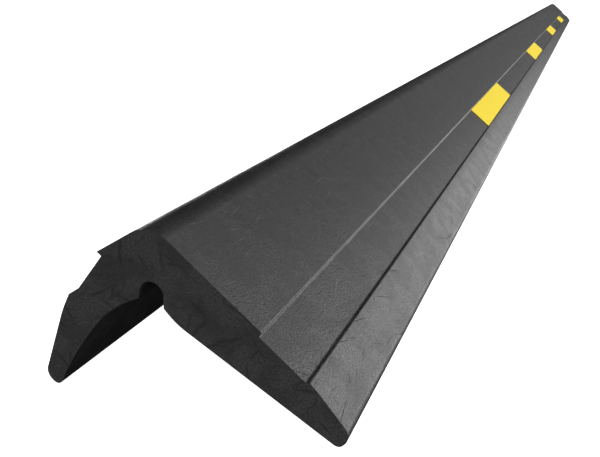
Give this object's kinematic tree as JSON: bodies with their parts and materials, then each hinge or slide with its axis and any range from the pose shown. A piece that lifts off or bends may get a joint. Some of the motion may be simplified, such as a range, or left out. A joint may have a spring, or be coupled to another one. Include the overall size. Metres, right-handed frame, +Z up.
{
  "type": "rubber kerb buffer",
  "caption": "Extruded rubber edge profile with two unequal legs and a bending groove, with yellow marker strips let into one seat, to buffer a kerb or ramp edge.",
  "frame": {"origin": "on the floor under the middle of the bounding box, with the profile standing on its two leg tips", "axes": "+Z up through the nose, +Y along the stock away from the end with the wider unmarked stretch, +X towards the long leg that carries the marker strips"},
  "size_m": [0.1296, 3, 0.0725],
  "materials": {
    "rubber": "matt black solid rubber with a fine scratched skin, sawn end faces",
    "marker": "even yellow, satin"
  },
  "bodies": {
    "root": {"rubber_profile": "rubber", "marker_strip_1": "marker", "marker_strip_2": "marker", "marker_strip_3": "marker", "marker_strip_4": "marker"}
  },
  "joints": []
}
